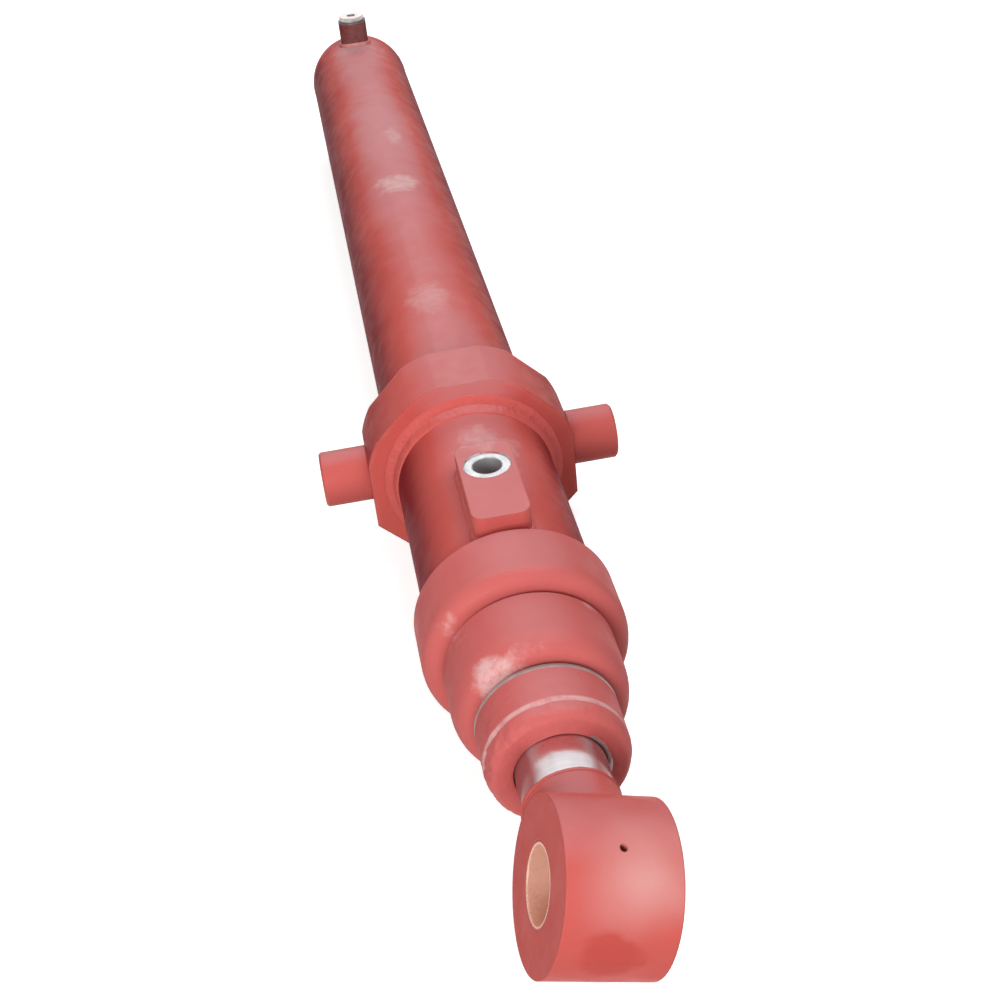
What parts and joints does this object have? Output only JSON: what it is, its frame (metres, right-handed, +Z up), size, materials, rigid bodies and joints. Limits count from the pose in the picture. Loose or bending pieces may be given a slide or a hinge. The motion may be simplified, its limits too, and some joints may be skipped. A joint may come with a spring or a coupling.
{
  "type": "telescopic hydraulic cylinder",
  "caption": "Closed telescopic hydraulic cylinder lying flat, with an octagonal trunnion ring, a port block by the head, stepped sleeve collars and a thick rod eye.",
  "frame": {"origin": "middle of the closed cylinder's length, on the level of the trunnion ring's lower flat", "axes": "+Y along the cylinder's axis from the rod eye to the base cap, +X along the trunnion pins, +Z up through the ports"},
  "size_m": [0.27, 1.7, 0.201],
  "materials": {
    "enamel": "glossy red-oxide enamel, brushed and sprayed on by hand",
    "weld_enamel": "the same enamel over weld beads",
    "zinc_plug": "zinc plated, dull",
    "bonded_seal": "zinc washer with a rubber lip",
    "honed_steel": "ground and polished, oiled",
    "hard_chrome": "hard chrome, polished",
    "plain_steel": "turned",
    "bronze": "turned bearing bronze",
    "seal_polyurethane": "moulded polyurethane",
    "wiper_rubber": "moulded"
  },
  "bodies": {
    "barrel": {"barrel_tube": "enamel", "base_cap": "enamel", "base_weld": "weld_enamel", "base_port_boss": "enamel", "base_port_plug": "zinc_plug", "base_port_seal": "bonded_seal", "trunnion_ring": "enamel", "trunnion_pin_left": "enamel", "trunnion_pin_right": "enamel", "ring_weld_front": "weld_enamel", "ring_weld_rear": "weld_enamel", "port_block": "enamel", "port_block_weld": "weld_enamel", "barrel_head": "enamel", "barrel_guide_ring": "bronze", "barrel_rod_seal": "seal_polyurethane", "barrel_wiper": "wiper_rubber"},
    "sleeve_1_carrier": {"sleeve_1_bearing_ring": "bronze"},
    "sleeve_1": {"sleeve_1_tube": "honed_steel", "sleeve_1_collar": "enamel", "sleeve_1_foot": "plain_steel", "sleeve_1_snap_rings": "plain_steel", "sleeve_1_guide_ring": "bronze", "sleeve_1_rod_seal": "seal_polyurethane", "sleeve_1_wiper": "wiper_rubber"},
    "sleeve_2_carrier": {"sleeve_2_bearing_ring": "bronze"},
    "sleeve_2": {"sleeve_2_tube": "honed_steel", "sleeve_2_collar": "enamel", "sleeve_2_foot": "plain_steel", "sleeve_2_snap_rings": "plain_steel", "sleeve_2_guide_ring": "bronze", "sleeve_2_rod_seal": "seal_polyurethane", "sleeve_2_wiper": "wiper_rubber"},
    "plunger_carrier": {"plunger_bearing_ring": "bronze"},
    "plunger": {"plunger_rod": "hard_chrome", "plunger_foot": "plain_steel", "plunger_snap_rings": "plain_steel", "rod_eye": "enamel", "eye_weld": "weld_enamel", "eye_bush": "bronze"}
  },
  "joints": [
    {"name": "sleeve_1_slide", "type": "slide", "parent": "barrel", "child": "sleeve_1_carrier", "axis": [0, -1, 0], "range_m": [0, 1.2164]},
    {"name": "sleeve_1_turn", "type": "hinge", "parent": "sleeve_1_carrier", "child": "sleeve_1", "pos_m": [0, -0.793, 0.0925], "axis": [0, 1, 0], "continuous": true},
    {"name": "sleeve_2_slide", "type": "slide", "parent": "sleeve_1", "child": "sleeve_2_carrier", "axis": [0, -1, 0], "range_m": [0, 1.2604]},
    {"name": "sleeve_2_turn", "type": "hinge", "parent": "sleeve_2_carrier", "child": "sleeve_2", "pos_m": [0, -0.793, 0.0925], "axis": [0, 1, 0], "continuous": true},
    {"name": "plunger_slide", "type": "slide", "parent": "sleeve_2", "child": "plunger_carrier", "axis": [0, -1, 0], "range_m": [0, 1.3054]},
    {"name": "plunger_turn", "type": "hinge", "parent": "plunger_carrier", "child": "plunger", "pos_m": [0, -0.793, 0.0925], "axis": [0, 1, 0], "continuous": true}
  ]
}
